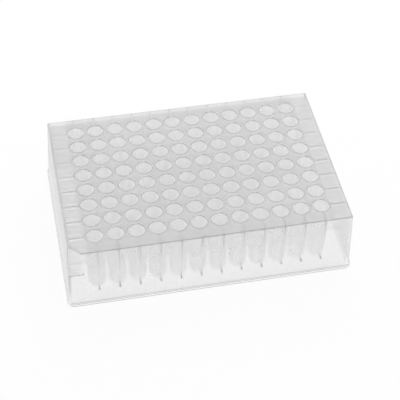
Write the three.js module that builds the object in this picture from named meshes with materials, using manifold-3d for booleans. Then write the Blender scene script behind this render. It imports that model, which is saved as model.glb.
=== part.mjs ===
// A 96-well deep-well plate, moulded in one piece of natural polypropylene.
// Round-bottomed tubes hang from a flat deck, and a drafted skirt with a base flange stands round them.
import * as THREE from "three";
import { mergeGeometries, mergeVertices } from "three/addons/utils/BufferGeometryUtils.js";
import Module from "manifold-3d";

// Sizes in millimetres. The plate stands on z = 0, with the middle of its footprint at the origin.
// Columns run along x and rows along y.
const columns = 12;
const rows = 8;
const wellPitch = 9;

const footprintLength = 127.76;
const footprintWidth = 85.48;
const footprintCornerRadius = 3;
const sharpestCornerRadius = 0.5;
const flangeHeight = 1.6;
const flangeLedge = 0.6;

const deckHeight = 32.2;
const deckThickness = 1.2;
const deckInset = 2.3;
const skirtThickness = 1.2;

const mouthDiameter = 7.1;
const wellTaper = 0.5;
const wellDepth = 31;
const tubeWall = 0.7;
const tubeFloor = 0.9;
const rimRise = 0.4;
const rimSlope = 0.6;

const ribThickness = 0.8;
const longSideRibDepth = 25.2;
const shortSideRibDepth = 16.6;

const notchReach = 5;
const notchDepth = 12.7;

const tubeSides = 8;
const roundingSteps = 2;
const cornerSteps = 3;
const hollowCornerSteps = 1;
const cutOverrun = 1;

// Levels and half sizes that several features share.
const rimHeight = deckHeight + rimRise;
const deckUnderside = deckHeight - deckThickness;
const wellFloorHeight = rimHeight - wellDepth;
const mouthRadius = mouthDiameter / 2;
const wellFootRadius = mouthRadius - wellTaper / 2;
const deckHalfLength = footprintLength / 2 - deckInset;
const deckHalfWidth = footprintWidth / 2 - deckInset;

const wasm = await Module();
wasm.setup();

// A closed geometry as a solid that can be joined and cut.
function solidOf(geometry) {
  const bare = new THREE.BufferGeometry();
  bare.setAttribute("position", geometry.getAttribute("position"));
  bare.setIndex(geometry.index);
  const merged = mergeVertices(bare, 1e-4);
  return new wasm.Manifold(
    new wasm.Mesh({
      numProp: 3,
      vertProperties: merged.attributes.position.array,
      triVerts: new Uint32Array(merged.index.array),
    }),
  );
}

function geometryOf(solid) {
  const mesh = solid.getMesh();
  const geometry = new THREE.BufferGeometry();
  geometry.setAttribute("position", new THREE.BufferAttribute(mesh.vertProperties, 3));
  geometry.setIndex(new THREE.BufferAttribute(mesh.triVerts, 1));
  geometry.computeVertexNormals();
  return geometry;
}

// The footprint moved in by an inset, as points round a rectangle whose corner arcs share their centres.
function outline(inset, steps) {
  const radius = Math.max(footprintCornerRadius - inset, sharpestCornerRadius);
  const centreX = footprintLength / 2 - inset - radius;
  const centreY = footprintWidth / 2 - inset - radius;
  const points = [];
  for (const [signX, signY, startTurn] of [[1, 1, 0], [-1, 1, 1], [-1, -1, 2], [1, -1, 3]]) {
    for (let step = 0; step <= steps; step++) {
      const angle = ((startTurn + step / steps) * Math.PI) / 2;
      points.push([
        signX * centreX + radius * Math.cos(angle),
        signY * centreY + radius * Math.sin(angle),
      ]);
    }
  }
  return points;
}

// A closed body through stacked outlines, lowest first. Each level has a height and an inset.
function loft(levels, steps) {
  const positions = [];
  const indices = [];
  for (const { height, inset } of levels) {
    for (const [x, y] of outline(inset, steps)) positions.push(x, y, height);
  }
  const count = 4 * (steps + 1);
  for (let level = 0; level + 1 < levels.length; level++) {
    for (let i = 0; i < count; i++) {
      const a = level * count + i;
      const b = level * count + ((i + 1) % count);
      indices.push(a, b, b + count, a, b + count, a + count);
    }
  }
  const top = (levels.length - 1) * count;
  for (let i = 1; i + 1 < count; i++) {
    indices.push(0, i + 1, i);
    indices.push(top, top + i, top + i + 1);
  }
  const geometry = new THREE.BufferGeometry();
  geometry.setAttribute("position", new THREE.Float32BufferAttribute(positions, 3));
  geometry.setIndex(indices);
  return geometry;
}

// How far the skirt's outer face stands in from the footprint at a height: it leans in towards the deck.
function skirtInset(height) {
  const share = (deckHeight - height) / (deckHeight - flangeHeight);
  return deckInset + (flangeLedge - deckInset) * share;
}

// The corner notch: a prism that cuts the front left corner at 45 degrees, grown where its wall is wanted.
function cornerPrism(growth) {
  const cornerX = -footprintLength / 2 - cutOverrun;
  const cornerY = -footprintWidth / 2 - cutOverrun;
  const chamferSum = notchReach - deckHalfLength - deckHalfWidth + growth * Math.SQRT2;
  const leg = chamferSum - cornerX - cornerY;
  const triangle = new THREE.Shape();
  triangle.moveTo(cornerX, cornerY);
  triangle.lineTo(cornerX + leg, cornerY);
  triangle.lineTo(cornerX, cornerY + leg);
  triangle.closePath();
  const depth = notchDepth + growth + cutOverrun;
  const prism = new THREE.ExtrudeGeometry(triangle, { depth, bevelEnabled: false });
  prism.translate(0, 0, deckHeight - notchDepth - growth);
  return prism;
}

// The shell: the deck and the skirt, with its base flange and its corner notch, open underneath.
function shell() {
  const outsideLevels = [
    { height: 0, inset: 0 },
    { height: flangeHeight, inset: 0 },
    { height: flangeHeight, inset: flangeLedge },
    { height: deckHeight, inset: deckInset },
  ];
  const hollowLevels = [-cutOverrun, deckUnderside].map((height) => {
    return { height, inset: skirtInset(height) + skirtThickness };
  });
  const outside = loft(outsideLevels, cornerSteps);
  const hollow = loft(hollowLevels, hollowCornerSteps);
  const notchedOutside = solidOf(outside).subtract(solidOf(cornerPrism(0)));
  const notchedHollow = solidOf(hollow).subtract(solidOf(cornerPrism(skirtThickness)));
  return notchedOutside.subtract(notchedHollow);
}

// A radius for a ring's corners that gives the ring the area of the true circle.
function ringRadius(radius) {
  const step = (2 * Math.PI) / tubeSides;
  return radius * Math.sqrt(step / Math.sin(step));
}

// A body turned about z from its profile of radius and height, with flat sides facing x and y.
function turned(profile) {
  const points = profile.map(([radius, height]) => new THREE.Vector2(ringRadius(radius), height));
  const geometry = new THREE.LatheGeometry(points, tubeSides, Math.PI / tubeSides);
  geometry.rotateX(Math.PI / 2);
  return geometry;
}

// A round bottom as profile points, from its lowest point to its full radius.
function roundBottom(radius, lowest) {
  const points = [];
  for (let step = 0; step <= roundingSteps; step++) {
    const angle = ((step / roundingSteps) * Math.PI) / 2;
    points.push([radius * Math.sin(angle), lowest + radius * (1 - Math.cos(angle))]);
  }
  return points;
}

// One tube with its well: up the outside to the rim, over the mouth's edge and down to the well's floor.
function tube() {
  const outside = roundBottom(wellFootRadius + tubeWall, wellFloorHeight - tubeFloor);
  const well = roundBottom(wellFootRadius, wellFloorHeight);
  return turned([
    ...outside,
    [mouthRadius + tubeWall, deckHeight - deckThickness / 2],
    [mouthRadius + rimSlope, deckHeight],
    [mouthRadius, rimHeight],
    ...well.reverse(),
  ]);
}

// The hole in the deck that a tube fills. Its edge lies inside the tube's wall.
function deckHole() {
  const radius = mouthRadius + Math.min(tubeWall, rimSlope) / 2;
  const top = deckHeight + cutOverrun;
  const bottom = deckUnderside - cutOverrun;
  return turned([[0, bottom], [radius, bottom], [radius, top], [0, top]]);
}

function columnX(column) {
  return (column - (columns - 1) / 2) * wellPitch;
}

function rowY(row) {
  return (row - (rows - 1) / 2) * wellPitch;
}

// A copy of one feature at every well.
function atEveryWell(feature) {
  const copies = [];
  for (let column = 0; column < columns; column++) {
    for (let row = 0; row < rows; row++) {
      copies.push(feature.clone().translate(columnX(column), rowY(row), 0));
    }
  }
  return mergeGeometries(copies);
}

// A rib under the deck, from the wall of an outer tube out to the skirt, drawn along +x and then turned.
// Its outer end follows the middle of the skirt's leaning wall.
function rib(halfSize, tubeCentre, depth) {
  const top = deckHeight - deckThickness / 2;
  const bottom = deckHeight - depth;
  const inner = tubeCentre + wellFootRadius + tubeWall / 2;
  const outerAt = (height) => halfSize - skirtInset(height) - skirtThickness / 2;
  const web = new THREE.Shape();
  web.moveTo(inner, bottom);
  web.lineTo(outerAt(bottom), bottom);
  web.lineTo(outerAt(top), top);
  web.lineTo(inner, top);
  web.closePath();
  const geometry = new THREE.ExtrudeGeometry(web, { depth: ribThickness, bevelEnabled: false });
  geometry.translate(0, 0, -ribThickness / 2);
  geometry.rotateX(Math.PI / 2);
  return geometry;
}

function ribs() {
  const copies = [];
  const shortSide = rib(footprintLength / 2, columnX(columns - 1), shortSideRibDepth);
  const longSide = rib(footprintWidth / 2, rowY(rows - 1), longSideRibDepth);
  for (let row = 0; row < rows; row++) {
    copies.push(shortSide.clone().translate(0, rowY(row), 0));
    copies.push(shortSide.clone().rotateZ(Math.PI).translate(0, rowY(row), 0));
  }
  for (let column = 0; column < columns; column++) {
    copies.push(longSide.clone().rotateZ(Math.PI / 2).translate(columnX(column), 0, 0));
    copies.push(longSide.clone().rotateZ(-Math.PI / 2).translate(columnX(column), 0, 0));
  }
  return mergeGeometries(copies);
}

const plate = shell()
  .subtract(solidOf(atEveryWell(deckHole())))
  .add(solidOf(atEveryWell(tube())))
  .add(solidOf(ribs()));

const naturalPolypropylene = new THREE.MeshStandardMaterial({
  color: 0xdcdddc,
  roughness: 0.32,
  metalness: 0,
  transparent: true,
  opacity: 0.55,
});

const wellPlate = new THREE.Mesh(geometryOf(plate), naturalPolypropylene);
wellPlate.name = "well_plate";

const model = new THREE.Group();
model.add(wellPlate);

export default model;
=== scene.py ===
# Dresses a 96-well deep-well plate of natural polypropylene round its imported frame.
import math
import bpy
import numpy as np
from mathutils import Matrix, Vector


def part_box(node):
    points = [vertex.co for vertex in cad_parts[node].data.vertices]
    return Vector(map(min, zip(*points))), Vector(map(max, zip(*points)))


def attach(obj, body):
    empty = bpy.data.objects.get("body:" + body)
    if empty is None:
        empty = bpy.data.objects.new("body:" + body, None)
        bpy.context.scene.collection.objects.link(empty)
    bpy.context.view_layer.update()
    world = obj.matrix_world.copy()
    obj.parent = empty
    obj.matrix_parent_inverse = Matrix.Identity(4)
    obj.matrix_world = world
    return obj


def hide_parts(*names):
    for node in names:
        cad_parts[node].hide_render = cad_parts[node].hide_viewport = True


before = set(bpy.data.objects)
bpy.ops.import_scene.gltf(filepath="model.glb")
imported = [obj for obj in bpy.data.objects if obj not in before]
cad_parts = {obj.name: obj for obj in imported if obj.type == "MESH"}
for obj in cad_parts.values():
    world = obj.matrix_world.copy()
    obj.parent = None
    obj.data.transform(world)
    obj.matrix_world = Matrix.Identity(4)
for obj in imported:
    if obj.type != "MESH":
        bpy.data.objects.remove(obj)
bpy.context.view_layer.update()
print("frame loaded")

# Shapes are worked out in millimetres, with the plate standing on z = 0, and become metres once joined.
mm = 0.001
samePlace = 1e-6    # mm, nearer than which two points of a path are one
lowest, highest = (np.array(corner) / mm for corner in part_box("well_plate"))
footprint = (highest - lowest)[:2]
rimHeight = highest[2]


# Shape tools

# Polyline corners become arcs. With A and B where the arc leaves its two sides, C the corner and w the cosine
# of half the turn, a point is ((1-u)^2 A + 2u(1-u)w C + u^2 B) / ((1-u)^2 + 2u(1-u)w + u^2).
def roundedPath(corners, radii, steps):
    corners = np.array(corners, float)
    radii = np.array(radii, float)[:, None]
    back = corners[:-2] - corners[1:-1]
    ahead = corners[2:] - corners[1:-1]
    back /= np.linalg.norm(back, axis=1, keepdims=True)
    ahead /= np.linalg.norm(ahead, axis=1, keepdims=True)
    halfTurn = (np.pi - np.arccos(np.clip((back * ahead).sum(1, keepdims=True), -1, 1))) / 2
    reach = radii * np.tan(halfTurn)
    start = (corners[1:-1] + back * reach)[:, None]
    end = (corners[1:-1] + ahead * reach)[:, None]
    u = np.linspace(0, 1, steps + 1)[None, :, None]
    pull = 2 * u * (1 - u) * np.cos(halfTurn)[:, None]
    arcs = (1 - u) ** 2 * start + pull * corners[1:-1, None] + u ** 2 * end
    arcs /= (1 - u) ** 2 + pull + u ** 2
    path = np.concatenate([corners[:1], arcs.reshape(-1, corners.shape[1]), corners[-1:]])
    moves = np.linalg.norm(np.diff(path, axis=0), axis=1) > samePlace
    return path[np.concatenate([[True], moves])]


# Puts whole arrays of points and faces into a new object at the origin. A group's faces have equal corners.
def newObject(name, points, faceGroups):
    corners = np.concatenate([group.ravel() for group in faceGroups])
    counts = np.concatenate([np.full(len(group), group.shape[1]) for group in faceGroups])
    starts = np.concatenate([[0], np.cumsum(counts)[:-1]])
    mesh = bpy.data.meshes.new(name)
    mesh.vertices.add(len(points))
    mesh.vertices.foreach_set("co", points.astype(np.float32).ravel())
    mesh.loops.add(len(corners))
    mesh.loops.foreach_set("vertex_index", corners.astype(np.int32))
    mesh.polygons.add(len(counts))
    mesh.polygons.foreach_set("loop_start", starts.astype(np.int32))
    mesh.update(calc_edges=True)
    made = bpy.data.objects.new(name, mesh)
    bpy.context.scene.collection.objects.link(made)
    return made


# Quads between neighbouring rings, with ring j and side i: (j, i), (j, i+1), (j+1, i+1), (j+1, i).
def ringQuads(ringCount, sides):
    j, i = np.meshgrid(np.arange(ringCount - 1), np.arange(sides), indexing="ij")
    following = (i + 1) % sides
    quads = [j * sides + i, j * sides + following, (j + 1) * sides + following, (j + 1) * sides + i]
    return np.stack(quads, -1).reshape(-1, 4)


# Copies of a closed body, given as points and face groups: each point plus each shift.
def copiesOf(name, points, faceGroups, shifts):
    allPoints = (shifts[:, None] + points[None]).reshape(-1, 3)
    skip = (np.arange(len(shifts)) * len(points))[:, None, None]
    allFaces = [(skip + group[None]).reshape(-1, group.shape[1]) for group in faceGroups]
    return newObject(name, allPoints, allFaces)


# A closed body through stacked rings, lowest first, with a flat face at either end.
def loftedBody(name, rings):
    ringCount, sides = rings.shape[:2]
    bottom = np.arange(sides)[None, ::-1]
    top = (ringCount - 1) * sides + np.arange(sides)[None]
    return newObject(name, rings.reshape(-1, 3), [ringQuads(ringCount, sides), bottom, top])


# Bodies of revolution: (radius cos a, radius sin a, height), with a pole at either end of the profile.
def turnedBodies(name, profile, sides, centres):
    angle = np.arange(sides) / sides * 2 * np.pi
    radius, height = profile[1:-1, 0, None], profile[1:-1, 1, None]
    rings = np.stack([radius * np.cos(angle), radius * np.sin(angle), height + 0 * angle], -1)
    rings = rings.reshape(-1, 3)
    points = np.concatenate([rings, [[0, 0, profile[0, 1]], [0, 0, profile[-1, 1]]]])
    side = np.arange(sides)
    following = (side + 1) % sides
    last = len(rings) - sides
    firstFan = np.stack([0 * side + len(rings), following, side], -1)
    lastFan = np.stack([last + side, last + following, 0 * side + len(rings) + 1], -1)
    return copiesOf(name, points, [ringQuads(len(radius), sides), firstFan, lastFan], centres)


# Upright cylinders: the profile goes out along the bottom, up the radius and in along the top.
def cylinders(name, radius, bottom, top, sides, centres):
    profile = np.array([[0, bottom], [radius, bottom], [radius, top], [0, top]])
    return turnedBodies(name, profile, sides, centres)


# The shell: deck, skirt, flange and corner notch

shell = {
    "deckHeight": 32.2,
    "deckThickness": 1.2,
    "deckInset": 2.3,
    "skirtThickness": 1.2,
    "flangeHeight": 1.6,
    "flangeLedge": 0.6,
    "cornerRadius": 3.0,
    "sharpestCorner": 0.35,
    "footEdge": 0.3,
    "footLine": 0.5,         # the strip along the foot, painted darker as shade
    "flangeEdge": 0.3,
    "flangeRoot": 0.3,
    "deckEdge": 0.4,
    "underDeckEdge": 0.5,
    "notchReach": 5.0,       # along either side of the deck
    "notchDepth": 12.7,      # from the deck down to the ledge
    "notchCorner": 0.9,      # where the chamfer meets the skirt
    "notchEdge": 0.45,
    "ledgeRise": 0.06,
    "cornerSteps": 9,        # odd, so that the notched corner can split into two small arcs
    "edgeSteps": 4,
    "overrun": 1.0,          # of cutters past what they cut, and of paths in over a flat end
}
shell["underside"] = shell["deckHeight"] - shell["deckThickness"]
shell["ledgeHeight"] = shell["deckHeight"] - shell["notchDepth"]
# What x + y is on the notch's chamfer.
notchLine = float(shell["notchReach"] + 2 * shell["deckInset"] - footprint.sum() / 2)


# How far the skirt's face stands in from the footprint, on a straight line from the flange to the deck.
def skirtInset(height):
    share = (shell["deckHeight"] - height) / (shell["deckHeight"] - shell["flangeHeight"])
    return shell["deckInset"] + (shell["flangeLedge"] - shell["deckInset"]) * share


# How far the notch's chamfer stands from the full corner, measured square to the chamfer: the length that the
# notch takes off either side, over the square root of 2, plus the offset.
def notchWidth(height, offset):
    reach = shell["notchReach"] + 2 * (shell["deckInset"] - skirtInset(height) - offset)
    return reach / math.sqrt(2) + offset


# How far in from the skirt's outer face a place lies, by the side that is nearest.
def fromSkirt(x, y, z):
    return np.minimum(footprint[0] / 2 - np.abs(x), footprint[1] / 2 - np.abs(y)) - skirtInset(z)


# Rings of a rectangle with corner arcs: corner centre + radius (cos a, sin a), drawn in by the skirt's inset
# and an offset. By its share, the notched corner slides from one full arc to two small arcs on a 45 degree
# line.
def outlineRings(path):
    offset, height, slide = path.T
    inset = (skirtInset(height) + offset)[:, None, None]
    radius = np.maximum(shell["cornerRadius"] - inset, shell["sharpestCorner"])
    half = footprint / 2
    signX = np.array([1, -1, -1, 1])[None, :, None]
    signY = np.array([1, 1, -1, -1])[None, :, None]
    turn = np.arange(shell["cornerSteps"] + 1) / shell["cornerSteps"]
    angle = (np.arange(4)[:, None] + turn)[None] * np.pi / 2
    x = signX * (half[0] - inset - radius) + radius * np.cos(angle)
    y = signY * (half[1] - inset - radius) + radius * np.sin(angle)

    small = shell["notchCorner"]
    line = (notchLine + offset * math.sqrt(2))[:, None]
    centreX = -half[0] + inset[:, 0] + small
    centreY = -half[1] + inset[:, 0] + small
    smallTurn = np.pi + np.linspace(0, 1, (shell["cornerSteps"] + 1) // 2) * np.pi / 4
    notchX = [centreX + small * np.cos(smallTurn),
              line + small * math.sqrt(2) - centreY + small * np.cos(smallTurn + np.pi / 4)]
    notchY = [line + small * math.sqrt(2) - centreX + small * np.sin(smallTurn),
              centreY + small * np.sin(smallTurn + np.pi / 4)]
    x[:, 2] += slide[:, None] * (np.concatenate(notchX, 1) - x[:, 2])
    y[:, 2] += slide[:, None] * (np.concatenate(notchY, 1) - y[:, 2])
    z = height[:, None, None] + 0 * x
    return np.stack([x, y, z], -1).reshape(len(path), -1, 3)


# A path's corners hold offset, height and distance slid along the ledge. Its rings use the share slid.
def shellRings(corners, radii):
    path = roundedPath(corners, radii, shell["edgeSteps"])
    path[:, 2] /= path[:, 2].max()
    return outlineRings(path)


# From the foot up over the flange, the skirt and the notch's ledge to the deck.
def outsideBody():
    ledge, top = shell["ledgeHeight"], shell["deckHeight"]
    width = notchWidth(ledge, 0)
    foot, overrun = -skirtInset(0), shell["overrun"]
    corners = [[foot + overrun, 0, 0], [foot, 0, 0], [-skirtInset(shell["footLine"]), shell["footLine"], 0],
               [-shell["flangeLedge"], shell["flangeHeight"], 0], [0, shell["flangeHeight"], 0],
               [0, ledge, 0], [0, ledge + shell["ledgeRise"], width], [0, top, width], [overrun, top, width]]
    radii = [shell["footEdge"], 0, shell["flangeEdge"], shell["flangeRoot"], shell["notchEdge"],
             shell["notchEdge"], shell["deckEdge"]]
    return loftedBody("plateOutside", shellRings(corners, radii))


# The same path one wall's thickness in, open at the bottom and closed by the deck's underside.
def hollowBody():
    wall, overrun = shell["skirtThickness"], shell["overrun"]
    ledge, top = shell["ledgeHeight"] - wall, shell["underside"]
    width = notchWidth(ledge, wall)
    corners = [[wall, -overrun, 0], [wall, ledge, 0], [wall, ledge + shell["ledgeRise"], width],
               [wall, top, width], [wall + overrun, top, width]]
    radii = [shell["notchEdge"], shell["notchEdge"], shell["underDeckEdge"]]
    return loftedBody("plateHollow", shellRings(corners, radii))


# The tubes: 96 wells with raised rims and round bottoms

tube = {
    "columns": 12,
    "rows": 8,
    "pitch": 9.0,
    "mouthDiameter": 7.1,
    "taper": 0.5,
    "depth": 31.0,
    "wall": 0.7,
    "floor": 0.9,
    "rimWidth": 0.6,
    "rimSlope": 0.2,
    "rimEdge": 0.18,
    "rimDepth": 0.54,        # down to where the rim's inner face ends
    "rimRoot": 0.25,         # fillet where the rim meets the deck
    "throatDepth": 0.6,      # the ring under the rim, painted darker as shade
    "throatFade": 0.4,
    "roundness": 0.97,       # of the bottom; the rest is a flat spot at the pole
    "sides": 32,
    "bottomSteps": 6,
    "rimSteps": 3,
}
mouthRadius = tube["mouthDiameter"] / 2
footRadius = mouthRadius - tube["taper"] / 2
wellFloor = rimHeight - tube["depth"]
throatFoot = rimHeight - tube["throatDepth"] - tube["throatFade"]


# Places at one pitch from each other, centred on zero.
def gridOf(count):
    return (np.arange(count) - (count - 1) / 2) * tube["pitch"]


def wellCentres():
    x, y = np.meshgrid(gridOf(tube["columns"]), gridOf(tube["rows"]), indexing="ij")
    return np.stack([x, y, 0 * x], -1).reshape(-1, 3)


# The well's radius at a height, on a straight line from its foot to its mouth.
def wellRadius(height):
    return footRadius + (mouthRadius - footRadius) * (height - wellFloor) / tube["depth"]


# One profile turned: up the outside, in at the deck, over the rim, down the throat and to the well's floor.
def tubeBodies():
    deck, thickness = shell["deckHeight"], shell["deckThickness"]
    bottom = wellFloor - tube["floor"]
    outer = footRadius + tube["wall"]
    outside = roundedPath([[0, bottom], [outer, bottom], [mouthRadius + tube["wall"], deck - thickness / 2]],
                          [outer * tube["roundness"]], tube["bottomSteps"])
    rimOuter = mouthRadius + tube["rimWidth"]
    rootOuter = rimOuter + tube["rimRoot"]
    root = [[rootOuter, deck - thickness / 4], [rootOuter, deck], [rimOuter, deck + tube["rimRoot"] / 2]]
    rim = roundedPath([root[-1], [rimOuter - tube["rimSlope"], rimHeight], [mouthRadius, rimHeight],
                       [mouthRadius, rimHeight - tube["rimDepth"]]],
                      [tube["rimEdge"], tube["rimEdge"]], tube["rimSteps"])
    throat = [[wellRadius(height), height] for height in (throatFoot + tube["throatFade"], throatFoot)]
    inside = roundedPath([throat[-1], [footRadius, wellFloor], [0, wellFloor]],
                         [footRadius * tube["roundness"]], tube["bottomSteps"])
    profile = np.concatenate([outside, root[:-1], rim, throat[:1], inside])
    return turnedBodies("plateTubes", profile, tube["sides"], wellCentres())


# The holes that the tubes fill: cylinders whose edge runs inside the tubes' walls.
def deckHoles():
    radius = mouthRadius + tube["rimWidth"] / 2
    bottom, top = shell["underside"] - shell["overrun"], shell["deckHeight"] + shell["overrun"]
    return cylinders("plateHoles", radius, bottom, top, tube["sides"], wellCentres())


# The ribs: webs under the deck from the outer tubes to the skirt

rib = {
    "thickness": 0.8,
    "longSideDepth": 25.2,
    "shortSideDepth": 16.6,
    "darkFoot": 3.6,         # in from the skirt's face, the part of a foot painted darker as shade
}


# Boxes along a side, with (outward, across, height) turned by whole quarters: x = o cos q - a sin q and
# y = o sin q + a cos q. The outer end follows the middle of the skirt's leaning wall.
def sideRibs(name, quarter, halfSize, outerTube, along, depth):
    top = shell["deckHeight"] - shell["deckThickness"] / 2
    bottom = shell["deckHeight"] - depth
    inner = outerTube + footRadius + tube["wall"] / 2
    outer = [halfSize - skirtInset(height) - shell["skirtThickness"] / 2 for height in (bottom, top)]
    outward = np.array([inner, outer[0], outer[1], inner] * 2)
    across = np.repeat([rib["thickness"] / 2, -rib["thickness"] / 2], 4)
    height = np.array([bottom, bottom, top, top] * 2)
    turn = quarter * math.pi / 2
    cosine, sine = round(math.cos(turn)), round(math.sin(turn))
    points = np.stack([outward * cosine - across * sine, outward * sine + across * cosine, height], -1)
    sides = ringQuads(2, 4)
    ends = np.array([[3, 2, 1, 0], [4, 5, 6, 7]])
    shifts = np.stack([along * abs(sine), along * abs(cosine), 0 * along], -1)
    return copiesOf(name, points, [sides, ends], shifts)


def ribBodies():
    x, y = gridOf(tube["columns"]), gridOf(tube["rows"])
    halfLength, halfWidth = footprint / 2
    short = (halfLength, x[-1], y, rib["shortSideDepth"])
    long = (halfWidth, y[-1], x, rib["longSideDepth"])
    return [sideRibs("ribsRight", 0, *short), sideRibs("ribsBack", 1, *long),
            sideRibs("ribsLeft", 2, *short), sideRibs("ribsFront", 3, *long)]


# The ejector mark: a shallow round dimple in the middle of the notch's ledge

ejectorMark = {
    "diameter": 1.9,
    "depth": 0.15,
    "sides": 24,
}


# The ledge is a right triangle, so its middle is a third of either short side from its corner.
def markBody():
    ledge = shell["ledgeHeight"]
    corner = -footprint / 2 + skirtInset(ledge)
    middle = corner + notchWidth(ledge, 0) * math.sqrt(2) / 3
    return cylinders("plateMark", ejectorMark["diameter"] / 2, ledge - ejectorMark["depth"],
                     ledge + shell["overrun"], ejectorMark["sides"], np.array([[*middle, 0]]))


# Joining: one moulding, shaded smooth but for its true edges, in metres

joining = {
    "sharpAngle": 32,        # degrees
    "flatWeight": 60,        # of the larger faces in the shading
}


def joinedPlate():
    body = outsideBody()
    steps = [(hollowBody(), "DIFFERENCE"), (deckHoles(), "DIFFERENCE"), (tubeBodies(), "UNION")]
    steps += [(ribs, "UNION") for ribs in ribBodies()]
    steps.append((markBody(), "DIFFERENCE"))
    for tool, operation in steps:
        boolean = body.modifiers.new(tool.name, "BOOLEAN")
        boolean.object = tool
        boolean.operation = operation
        boolean.solver = "MANIFOLD"
    view = bpy.context.evaluated_depsgraph_get()
    mesh = bpy.data.meshes.new_from_object(body.evaluated_get(view))
    for used in [body] + [tool for tool, operation in steps]:
        bpy.data.objects.remove(used)
    mesh.transform(Matrix.Scale(mm, 4))
    mesh.shade_smooth()
    mesh.set_sharp_from_angle(angle=math.radians(joining["sharpAngle"]))
    mesh.materials.clear()
    mesh.name = "moulded_plate"
    moulded = bpy.data.objects.new("moulded_plate", mesh)
    bpy.context.scene.collection.objects.link(moulded)
    weighted = moulded.modifiers.new("flatFaces", "WEIGHTED_NORMAL")
    weighted.weight = joining["flatWeight"]
    weighted.keep_sharp = True
    return moulded


plate = joinedPlate()
plate.data.calc_loop_triangles()
print("plate joined:", len(plate.data.loop_triangles), "triangles")


# The plastic: one natural polypropylene, with values set place by place. Some stand for how thick it looks
# there, and some only for how one light falls on the plate. Those stay in it under any other light.

plastic = {
    "refraction": 1.49,
    "gloss": 0.3,            # roughness
    "mostMirror": 0.5,       # of the light, at a grazing angle
    "through": 0.12,         # the share of the haze's light that goes on through the wall
    "steepest": 0.2,         # the lowest cosine that the haze deepens for
    # How much of the light each part's wall scatters, and how bright it scatters it. The skirt's front, left,
    # right and back are one wall of one thickness, and differ here only to follow that light.
    # Painted shade: the throat, lip, crest, root, corner, edges, deckLine, footLine and feet hold dark values
    # that paint the rings and lines that light makes there.
    "haze": {
        "skirt": 0.172, "leftWall": 0.165, "rightWall": 0.14, "backWall": 0.18, "flange": 0.1, "deck": 0.35,
        "well": 0.44, "tube": 0.23, "throat": 0.38, "lip": 0.2, "crest": 0.45, "root": 0.45,
        "rib": 0.13, "longFoot": 0.8, "sideFoot": 0.4, "ledge": 0.26, "chamfer": 0.2, "corner": 0.6,
        "edge": 0.55, "softEdge": 0.3, "backEdge": 0.6, "deckLine": 0.75, "footLine": 0.55,
    },
    # Painted light and shade: one plastic would have one tone, so the tones below differ only for how light
    # falls on each part.
    "tone": {
        "skirt": 0.885, "leftWall": 0.74, "rightWall": 0.86, "backWall": 0.7, "flange": 0.97, "deck": 0.585,
        "well": 0.995, "tube": 0.995, "throat": 0.5, "lip": 0.5, "crest": 0.53, "root": 0.53,
        "rib": 0.95, "longFoot": 0.1, "sideFoot": 0.7, "ledge": 0.74, "chamfer": 0.8, "corner": 0.42,
        "edge": 0.42, "softEdge": 0.6, "backEdge": 0.42, "deckLine": 0.4, "footLine": 0.35,
    },
    # The same at the low end of a part, which is no thinner, as painted light: lighter, and mostly clearer,
    # low down.
    # Or at the front of a mouth's ring, whose painted shade is weaker there.
    "lowHaze": {"well": 0.085, "tube": 0.107, "throat": 0.43, "lip": 0.1, "rib": 0.04, "longFoot": 0.04,
                "corner": 0.06},
    "lowTone": {"well": 1.0, "tube": 1.0, "throat": 0.995, "lip": 0.9, "rib": 1.0, "longFoot": 1.0,
                "corner": 0.6},
    "frontRim": 0.3,         # of the painted shade of a mouth's ring, at its front
    "cloudSize": 9.0,        # mm
    "cloudDetail": 3.0,
    "cloudReach": 0.25,      # of the noise on either side of its middle
    "cloudChange": 0.12,
    "rippleSize": 5.0,       # mm
    "rippleDetail": 2.0,
    "rippleHeight": 0.004,   # mm
}

# Bands on the outside that look hazier or darker, partly for what lies behind the wall and partly as
# painted shade. Lengths in mm. How they fade is painted shade alone: the ribs behind are as thick at the
# back as at the front.
bands = {
    "margin": {"haze": 0.31, "tone": 0.69},      # the deck beyond the end wells
    "deckRib": {"haze": 0.6, "tone": 0.4},       # the deck over a rib
    "skirtRib": {"haze": 0.6, "tone": 0.5},      # the skirt over a rib
    "wall": {"haze": 0.5, "tone": 0.5},          # the deck over the end walls and the chamfer
    "ledge": {"haze": 0.65, "tone": 0.4},        # along the edge of the notch's ledge
    "blur": 0.4,
    "overlap": 0.4,          # of the margins with the wells' squares
    "deckSkin": 0.1,         # below the deck's face, what still counts as the deck
    "sharpBlur": 0.05,
    "ledgeDrop": 0.2,        # from the ledge down to the middle of its line
    "ledgeReach": 0.25,
    "ledgeBlur": 0.1,
    "ribFade": 3.0,          # power of the height that the skirt's bands fade with
    "farShare": 0.45,        # of the ribs' bands, at the back of the deck and off the front of the skirt
    "farFade": 2.0,          # power of the way to the back that the deck's bands fade with
}

# What tells the parts' faces from each other: lengths in mm, then cosines between a face and an axis.
telling = {
    "onSurface": 0.05,       # how far off a surface a face that lies on it may be
    "onTube": 0.02,
    "aboveDeck": 0.03,
    "wallSkin": 0.1,
    "edgeReach": 0.6,        # from a level that has a rounded edge
    "flangeReach": 0.9,
    "backReach": 1.0,        # above the ledge, where the back's edge starts
    "footReach": 1.0,        # above a rib's lowest point
    "notchReach": 4.0,       # in from the chamfer
    "notchDrop": 2.0,        # below the ledge
    "level": 0.98,
    "slanted": 0.12,
    "facing": 0.5,
    "cornerAlong": 0.6,
    "cornerAcross": 0.08,
}


# A node with its settings. A socket given as a value is set, and one given as a node's output is linked.
def addNode(tree, kind, sockets, **settings):
    made = tree.nodes.new(kind)
    for name, value in settings.items():
        setattr(made, name, value)
    for name, value in sockets.items():
        if isinstance(value, bpy.types.NodeSocket):
            tree.links.new(value, made.inputs[name])
        else:
            made.inputs[name].default_value = value
    return made


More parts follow.
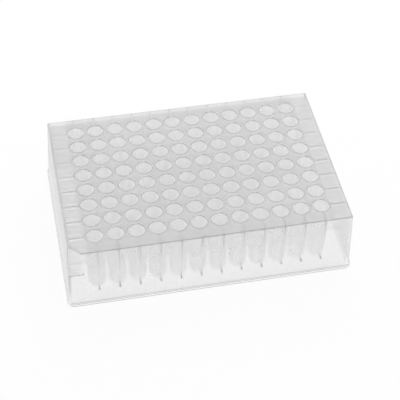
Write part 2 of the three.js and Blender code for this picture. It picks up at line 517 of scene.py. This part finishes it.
# A material's or a world's own node tree, cleared.
def emptyTree(owner):
    owner.use_nodes = True
    owner.node_tree.nodes.clear()
    return owner.node_tree


def maths(tree, operation, *values, **settings):
    sockets = dict(enumerate(values))
    return addNode(tree, "ShaderNodeMath", sockets, operation=operation, **settings).outputs[0]


def product(tree, value, *others):
    for other in others:
        value = maths(tree, "MULTIPLY", value, other)
    return value


# Carries a value from one range to another, each from 0 to 1 unless the sockets say otherwise.
def rangeOf(tree, sockets, **settings):
    return addNode(tree, "ShaderNodeMapRange", sockets, **settings).outputs[0]


# 1 below a limit and 0 above it, with a soft step between.
def below(tree, value, limit, blur):
    return rangeOf(tree, {"Value": value, "From Min": limit - blur, "From Max": limit + blur,
                          "To Min": 1.0, "To Max": 0.0}, interpolation_type="SMOOTHSTEP")


# One value with some of another mixed in.
def mixed(tree, share, value, other):
    return addNode(tree, "ShaderNodeMix", {"Factor": share, "A": value, "B": other}).outputs[0]


# 1 on rays of any of the named kinds.
def rayOfKind(tree, kinds):
    path = addNode(tree, "ShaderNodeLightPath", {})
    found = path.outputs[kinds[0]]
    for kind in kinds[1:]:
        found = maths(tree, "MAXIMUM", found, path.outputs[kind])
    return found


# How far a place lies from the nearest well's axis, along x or y: by the remainder of the pitch between the
# wells, and by the distance from the outermost one beyond them.
def fromWell(along, count):
    pitch = tube["pitch"]
    return np.maximum(np.abs(np.mod(along, pitch) - pitch / 2), np.abs(along) - (count - 1) * pitch / 2)


# The part of the moulding that each face's middle lies in, and whether it is on the outside.
def partOfFaces(mesh):
    middle = np.empty(len(mesh.polygons) * 3, np.float32)
    normal = np.empty(len(mesh.polygons) * 3, np.float32)
    mesh.polygons.foreach_get("center", middle)
    mesh.polygons.foreach_get("normal", normal)
    x, y, z = middle.reshape(-1, 3).T / mm
    normalX, normalY, upward = normal.reshape(-1, 3).T
    deck, underside, ledge = shell["deckHeight"], shell["underside"], shell["ledgeHeight"]
    near, reach, facing = telling["onSurface"], telling["edgeReach"], telling["facing"]

    across, along = fromWell(x, tube["columns"]), fromWell(y, tube["rows"])
    away = np.hypot(across, along)
    inward = fromSkirt(x, y, z)
    atEnd = footprint[0] / 2 - np.abs(x) < footprint[1] / 2 - np.abs(y)
    level = np.abs(upward) > telling["level"]
    slanted = (np.abs(upward) > telling["slanted"]) & (np.abs(upward) < telling["level"])
    onDeck = level & (z > underside - near)
    onRim = z > deck + telling["aboveDeck"]
    inTube = ~onDeck & (away < mouthRadius + tube["wall"] + telling["onTube"])
    inWell = ~onDeck & (away < mouthRadius + telling["onTube"])
    onWell = inWell & (away < wellRadius(z) + near) & (z > wellFloor - near)
    atLevel = (z > deck - reach) | (np.abs(z - ledge) < reach)
    atLevel |= z < shell["flangeHeight"] + telling["flangeReach"]
    shellEdge = slanted & atLevel & (inward < shell["deckEdge"] + near)
    longEdge = shellEdge & ~atEnd
    onRib = np.minimum(across, along) < rib["thickness"] / 2 + near
    onRib &= inward > shell["skirtThickness"] + near
    ribFoot = onRib & (upward < -facing)
    byNotch = (x + y < notchLine + telling["notchReach"]) & (z > ledge - telling["notchDrop"])
    turning = normalX * np.sign(x) > telling["cornerAlong"]
    turning &= normalY * np.sign(y) > telling["cornerAcross"]
    # Painted shade: the lip, throat, root, crest, corner, edges, deck line, foot line and feet are told apart
    # here to be set dark, and the skirt's four sides only for their painted light and shade.
    parts = {
        "lip": onRim & (away < mouthRadius + tube["rimEdge"]),
        "throat": inWell & (z > throatFoot),
        "footLine": ~atEnd & (z < shell["footLine"]) & (inward < near),
        "deckLine": longEdge & (y < 0) & (z > ledge - reach),
        "edge": longEdge & ((y < 0) | (z < ledge)),
        "backEdge": longEdge & (z > ledge + telling["backReach"]),
        "softEdge": shellEdge,
        "longFoot": ribFoot & (z < deck - rib["longSideDepth"] + telling["footReach"]),
        "sideFoot": ribFoot & (z < deck - rib["shortSideDepth"] + telling["footReach"]),
        "root": onRim & (z < deck + tube["rimRoot"] / 2),
        "crest": onRim,
        "well": onWell,
        "tube": inTube,
        "deck": onDeck | (z > underside - near),
        "rib": onRib,
        "flange": z < shell["flangeHeight"],
        "ledge": byNotch & level,
        "chamfer": byNotch & (normalX < -facing) & (normalY < -facing),
        "corner": turning,
        "leftWall": atEnd & (x < 0),
        "rightWall": atEnd,
        "backWall": y > 0,
    }
    part = np.select(list(parts.values()), list(parts), "skirt")
    walls = np.isin(part, ["skirt", "leftWall", "rightWall", "backWall"])
    return part, (part == "deck") & (upward > 0) | walls & (inward < telling["wallSkin"])


# Gives every corner of every face its haze and tone, which change up the tubes, the ribs and the corners,
# down the throats and round the mouths.
def markPlastic(mesh):
    part, outer = partOfFaces(mesh)
    sides = np.empty(len(mesh.polygons), np.int32)
    mesh.polygons.foreach_get("loop_total", sides)
    corner = np.empty(len(mesh.loops), np.int32)
    mesh.loops.foreach_get("vertex_index", corner)
    point = np.empty(len(mesh.vertices) * 3, np.float32)
    mesh.vertices.foreach_get("co", point)
    x, y, z = point.reshape(-1, 3)[corner].T / mm
    part, outer = np.repeat(part, sides), np.repeat(outer, sides)
    # Painted light: the wells, tubes, ribs and corners grow lighter towards their low end, and the throats'
    # painted shade fades out at its foot.
    inThroat = part == "throat"
    start = np.where(inThroat, throatFoot, 0)
    full = np.where(inThroat, throatFoot + tube["throatFade"], shell["underside"])
    rise = np.clip((z - start) / (full - start), 0, 1)
    # The rings' painted shade deepens from a mouth's front to its back, by (1 + sin a) / 2 with a the angle
    # round the well.
    pitch, front = tube["pitch"], plastic["frontRim"]
    fromRow = y - pitch * (np.round(y / pitch - 0.5) + 0.5)
    turned = front + (1 - front) * np.clip(fromRow / mouthRadius + 1, 0, 2) / 2
    rise = np.where(inThroat, rise * turned, np.where(part == "lip", turned, rise))
    # Painted shade: a long rib's foot is dark only within darkFoot of the skirt's face.
    rise = np.where(part == "longFoot", fromSkirt(x, y, z) < rib["darkFoot"], rise)
    marks = {"outer": outer}
    for name, high, low in (("haze", plastic["haze"], plastic["lowHaze"]),
                            ("tone", plastic["tone"], plastic["lowTone"])):
        most = np.vectorize(high.get)(part)
        least = np.vectorize(lambda key: low.get(key, high[key]))(part)
        marks[name] = least + (most - least) * rise
    for name, values in marks.items():
        mesh.attributes.new(name, "FLOAT", "CORNER").data.foreach_set("value", values.astype(np.float32))


# How far a place on the outside belongs to each band, from 0 to 1.
def bandShares(tree, place):
    apart = addNode(tree, "ShaderNodeSeparateXYZ", {0: place})
    x, y, z = [maths(tree, "DIVIDE", apart.outputs[axis], mm) for axis in range(3)]
    blur, sharp, pitch, half = bands["blur"], bands["sharpBlur"], tube["pitch"], footprint / 2
    fromAxis, toSide, pastWells = [], [], []
    for value, count, side in ((x, tube["columns"], half[0]), (y, tube["rows"], half[1])):
        size = maths(tree, "ABSOLUTE", value)
        turn = maths(tree, "SUBTRACT", maths(tree, "WRAP", value, pitch, 0.0), pitch / 2)
        outermost = maths(tree, "SUBTRACT", size, (count - 1) * pitch / 2)
        fromAxis.append(maths(tree, "MAXIMUM", maths(tree, "ABSOLUTE", turn), outermost))
        toSide.append(maths(tree, "SUBTRACT", float(side - shell["deckInset"]), size))
        pastWells.append(maths(tree, "SUBTRACT", size, count * pitch / 2))
    past = maths(tree, "SUBTRACT", maths(tree, "ADD", x, y), notchLine)
    toNotch = maths(tree, "DIVIDE", past, math.sqrt(2))
    offDeck = below(tree, z, shell["deckHeight"] - bands["deckSkin"], sharp)
    onDeck = maths(tree, "SUBTRACT", 1.0, offDeck)
    overWall = below(tree, maths(tree, "MINIMUM", toSide[0], toNotch), shell["skirtThickness"], blur)
    pastEnds = below(tree, product(tree, pastWells[0], -1.0), bands["overlap"], blur)

    # The ribs' bands run from the wells out, and down the skirt to the ribs' lowest points.
    pastAny = below(tree, product(tree, maths(tree, "MAXIMUM", *pastWells), -1.0), bands["overlap"], blur)
    onLine = below(tree, maths(tree, "MINIMUM", *fromAxis), rib["thickness"] / 2, blur / 2)
    longSide = maths(tree, "GREATER_THAN", pastWells[1], pastWells[0])
    foot = rangeOf(tree, {"Value": longSide, "To Min": shell["deckHeight"] - rib["shortSideDepth"],
                          "To Max": shell["deckHeight"] - rib["longSideDepth"]})
    fading = maths(tree, "POWER", maths(tree, "DIVIDE", z, shell["deckHeight"]), bands["ribFade"])
    overRib = product(tree, onLine, pastAny, maths(tree, "GREATER_THAN", z, foot), fading)
    # Their share is 1 at the front. On the skirt it is less elsewhere, and on the deck it falls to the back:
    # a fade of painted shade alone.
    atFront = maths(tree, "MULTIPLY", longSide, maths(tree, "LESS_THAN", y, 0.0))
    skirtShare = rangeOf(tree, {"Value": atFront, "To Min": bands["farShare"]})
    way = rangeOf(tree, {"Value": y, "From Min": float(-half[1]), "From Max": float(half[1])})
    deckShare = maths(tree, "MULTIPLY_ADD", maths(tree, "POWER", way, bands["farFade"]),
                      bands["farShare"] - 1, 1.0)

    fromLedge = maths(tree, "ABSOLUTE", maths(tree, "SUBTRACT", z, shell["ledgeHeight"] - bands["ledgeDrop"]))
    alongLedge = below(tree, fromLedge, bands["ledgeReach"], bands["ledgeBlur"])
    return {
        "margin": product(tree, pastEnds, onDeck),
        "deckRib": product(tree, overRib, onDeck, deckShare),
        "skirtRib": product(tree, overRib, skirtShare, offDeck),
        "wall": product(tree, overWall, onDeck),
        "ledge": product(tree, alongLedge, below(tree, toNotch, 0.0, sharp)),
    }


# Noise on the piece's own coordinates, with its size in millimetres.
def noise(tree, place, size, detail):
    sockets = {"Vector": place, "Scale": 1 / (size * mm), "Detail": detail}
    return addNode(tree, "ShaderNodeTexNoise", sockets).outputs["Fac"]


def plasticMaterial():
    material = bpy.data.materials.new("naturalPolypropylene")
    tree = emptyTree(material)
    white = (1, 1, 1, 1)
    place = addNode(tree, "ShaderNodeTexCoord", {}).outputs["Object"]
    haze, tone, outer = [addNode(tree, "ShaderNodeAttribute", {}, attribute_name=name).outputs["Fac"]
                         for name in ("haze", "tone", "outer")]
    # Where the bands lie, their haze and tone, partly painted shade, take over on the outside.
    for name, band in bandShares(tree, place).items():
        share = maths(tree, "MULTIPLY", band, outer)
        haze = mixed(tree, share, haze, bands[name]["haze"])
        tone = mixed(tree, share, tone, bands[name]["tone"])
    # Faint clouds in the haze, and a faint ripple in the face.
    reach, change = plastic["cloudReach"], plastic["cloudChange"]
    cloud = noise(tree, place, plastic["cloudSize"], plastic["cloudDetail"])
    clouds = rangeOf(tree, {"Value": cloud, "From Min": 0.5 - reach, "From Max": 0.5 + reach,
                            "To Min": 1 - change, "To Max": 1 + change})
    haze = maths(tree, "MULTIPLY", haze, clouds, use_clamp=True)
    bump = addNode(tree, "ShaderNodeBump", {
        "Height": noise(tree, place, plastic["rippleSize"], plastic["rippleDetail"]), "Strength": 1.0,
        "Distance": plastic["rippleHeight"] * mm}).outputs["Normal"]
    # What a wall lets by at a slant is what it lets by squarely, to the power of 1 / cosine.
    facing = addNode(tree, "ShaderNodeLayerWeight", {"Blend": 0.5}).outputs["Facing"]
    cosine = maths(tree, "MAXIMUM", maths(tree, "SUBTRACT", 1.0, facing), plastic["steepest"])
    letBy = maths(tree, "POWER", maths(tree, "SUBTRACT", 1.0, haze), maths(tree, "DIVIDE", 1.0, cosine))

    clear = addNode(tree, "ShaderNodeBsdfTransparent", {"Color": white}).outputs[0]
    front = addNode(tree, "ShaderNodeBsdfDiffuse", {"Color": tone, "Normal": bump}).outputs[0]
    back = addNode(tree, "ShaderNodeBsdfTranslucent", {"Color": tone, "Normal": bump}).outputs[0]
    milk = addNode(tree, "ShaderNodeMixShader", {0: plastic["through"], 1: front, 2: back}).outputs[0]
    wall = addNode(tree, "ShaderNodeMixShader", {0: letBy, 1: milk, 2: clear}).outputs[0]
    # The mirrored share grows from ((n - 1) / (n + 1))^2 seen squarely, with the fifth power of 1 - cosine.
    square = ((plastic["refraction"] - 1) / (plastic["refraction"] + 1)) ** 2
    mirror = rangeOf(tree, {"Value": maths(tree, "POWER", facing, 5.0), "To Min": square,
                            "To Max": plastic["mostMirror"]})
    gloss = addNode(tree, "ShaderNodeBsdfGlossy", {"Color": white, "Roughness": plastic["gloss"],
                                                   "Normal": bump}).outputs[0]
    surface = addNode(tree, "ShaderNodeMixShader", {0: mirror, 1: wall, 2: gloss}).outputs[0]
    addNode(tree, "ShaderNodeOutputMaterial", {"Surface": surface})
    return material


markPlastic(plate.data)
plate.data.materials.append(plasticMaterial())
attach(plate, "root")
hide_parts("well_plate")
print("plate dressed")


# The studio: a pale floor, an even sky and one soft lamp

studio = {
    "skyStrength": 0.86,     # what lights the plate
    "whiteStrength": 1.0,    # what the camera, gloss and glass see
    "floorSize": 6.0,        # m
    "floorTone": 0.95,
    "floorWhite": 0.9,       # the share of plain white in the floor, which leaves the rest for the shadow
    "seen": ["Is Camera Ray", "Is Glossy Ray", "Is Transmission Ray"],
    "lampPlace": (0.1, 0.35, 0.35),
    "lampAim": (0.0, 0.0, 0.02),
    "lampSize": 0.35,        # m
    "lampPower": 0.6,        # W
}


def makeSky():
    sky = bpy.data.worlds.new("sky")
    bpy.context.scene.world = sky
    tree = emptyTree(sky)
    strength = rangeOf(tree, {"Value": rayOfKind(tree, studio["seen"]), "To Min": studio["skyStrength"],
                              "To Max": studio["whiteStrength"]})
    light = addNode(tree, "ShaderNodeBackground", {"Color": (1, 1, 1, 1), "Strength": strength}).outputs[0]
    addNode(tree, "ShaderNodeOutputWorld", {"Surface": light})


def makeFloor():
    half = studio["floorSize"] / 2
    corners = np.array([[-half, -half, 0], [half, -half, 0], [half, half, 0], [-half, half, 0]])
    floor = newObject("floor", corners, [np.array([[0, 1, 2, 3]])])
    material = bpy.data.materials.new("floorPaper")
    tree = emptyTree(material)
    tone = studio["floorTone"]
    paper = addNode(tree, "ShaderNodeBsdfDiffuse", {"Color": (tone, tone, tone, 1)}).outputs[0]
    white = addNode(tree, "ShaderNodeEmission", {"Color": (1, 1, 1, 1), "Strength": 1.0}).outputs[0]
    share = maths(tree, "MULTIPLY", rayOfKind(tree, studio["seen"]), studio["floorWhite"])
    surface = addNode(tree, "ShaderNodeMixShader", {0: share, 1: paper, 2: white}).outputs[0]
    addNode(tree, "ShaderNodeOutputMaterial", {"Surface": surface})
    floor.data.materials.append(material)


def makeLamp():
    light = bpy.data.lights.new("softLamp", "AREA")
    light.size = studio["lampSize"]
    light.energy = studio["lampPower"]
    lamp = bpy.data.objects.new("softLamp", light)
    lamp.location = studio["lampPlace"]
    aim = Vector(studio["lampAim"]) - lamp.location
    lamp.rotation_euler = aim.to_track_quat("-Z", "Y").to_euler()
    bpy.context.scene.collection.objects.link(lamp)


makeSky()
makeFloor()
makeLamp()
print("studio lit")


# The camera, above and in front of the plate's left half

view = {
    "place": (-0.077332, -0.351697, 0.401803),
    "turn": (42.6804, -1.3644, -11.3430),    # degrees about x, y and z
    "lens": 104.045,                         # mm
    "sensor": 36.0,                          # mm
    "nearest": 0.01,                         # m, where the view starts
}


def makeCamera():
    lens = bpy.data.cameras.new("camera")
    lens.sensor_width = view["sensor"]
    lens.lens = view["lens"]
    lens.clip_start = view["nearest"]
    camera = bpy.data.objects.new("camera", lens)
    camera.location = view["place"]
    camera.rotation_euler = [math.radians(angle) for angle in view["turn"]]
    bpy.context.scene.collection.objects.link(camera)
    bpy.context.scene.camera = camera


# Light crosses dozens of clear walls here, so it may bounce more often than usual, and glass stays sharp.
bounces = {
    "max_bounces": 64,
    "diffuse_bounces": 24,
    "glossy_bounces": 64,
    "transmission_bounces": 64,
    "transparent_max_bounces": 96,
    "blur_glossy": 0.0,
}

makeCamera()
for setting, value in bounces.items():
    setattr(bpy.context.scene.cycles, setting, value)
bpy.context.scene.view_settings.view_transform = "Standard"

print("camera set")
